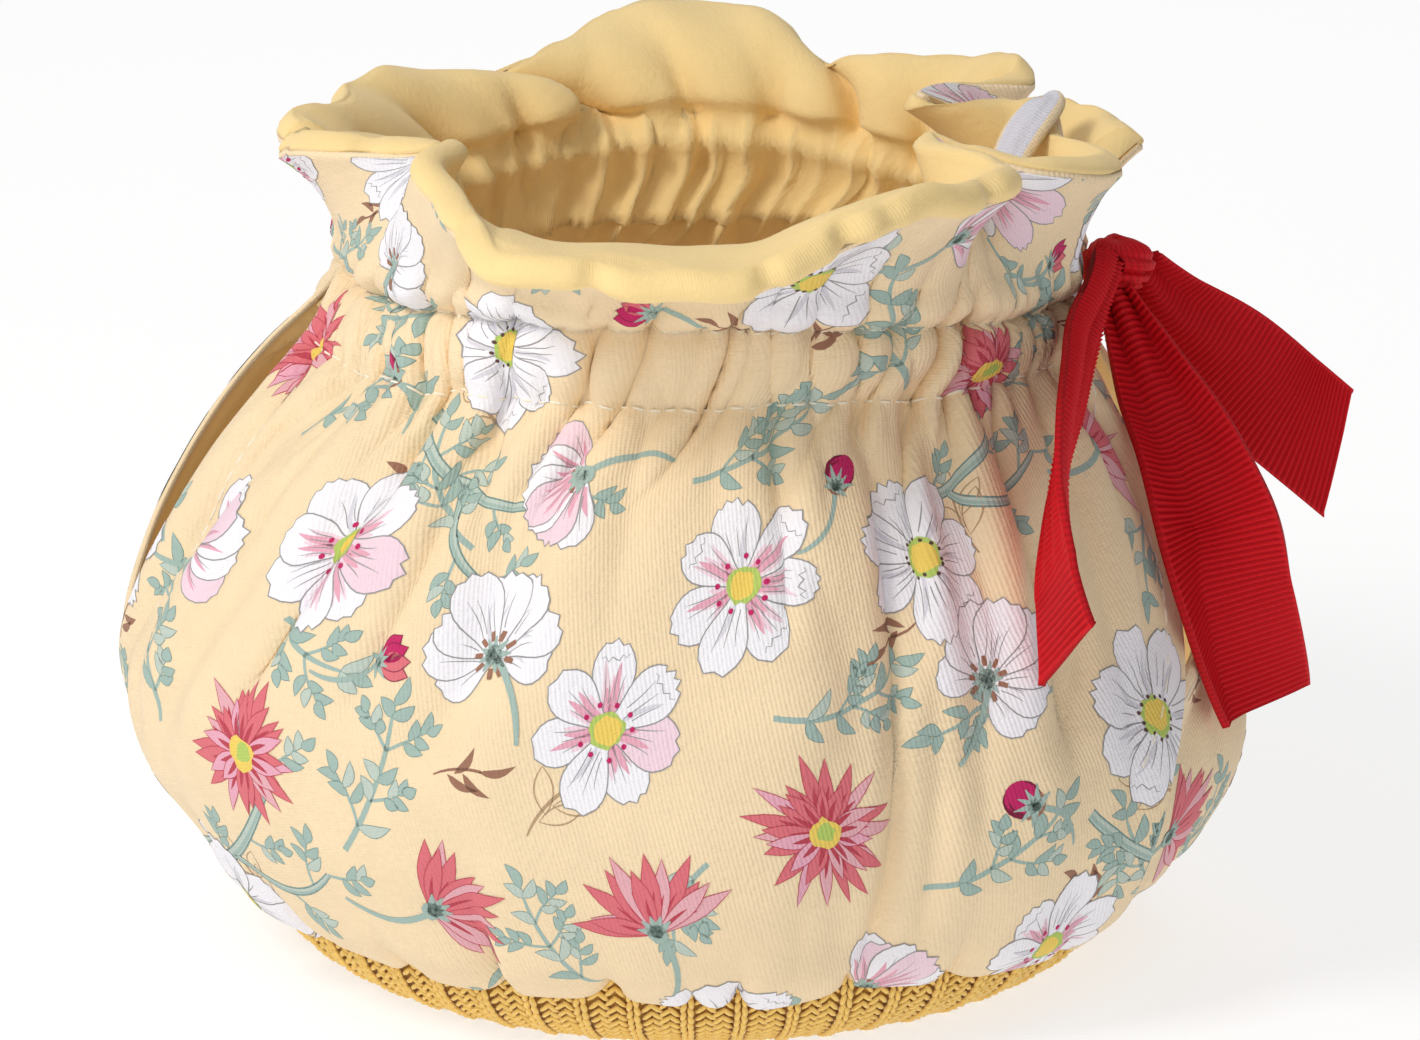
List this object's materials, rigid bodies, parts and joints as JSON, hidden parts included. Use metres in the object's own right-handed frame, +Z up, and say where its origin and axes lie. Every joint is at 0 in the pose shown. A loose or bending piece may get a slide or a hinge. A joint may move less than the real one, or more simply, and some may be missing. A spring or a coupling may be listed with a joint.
{
  "type": "tea cosy",
  "caption": "Gathered tea cosy of flower-printed cotton with a frilled, lined collar, a knitted base band and a ribbon tie, slit for spout and handle.",
  "frame": {"origin": "under the middle of the whole part's box, on the surface it stands on", "axes": "+X from the spout side to the handle side, +Y from the front to the back, +Z up"},
  "size_m": [0.2039, 0.1698, 0.1399],
  "materials": {
    "cotton_print": "matt cotton twill, butter yellow with a flower print",
    "lining": "matt plain-weave cotton, warm yellow",
    "knit": "matt cotton rib knit, mustard",
    "ribbon": "crimson grosgrain with a low sheen"
  },
  "bodies": {
    "root": {"outer_front": "cotton_print", "outer_back": "cotton_print", "lining_front": "lining", "lining_back": "lining", "knit_base": "knit", "ribbon_knot": "ribbon", "ribbon_tail_narrow": "ribbon", "ribbon_tail_wide": "ribbon", "ribbon_tail_back": "ribbon"}
  },
  "joints": []
}
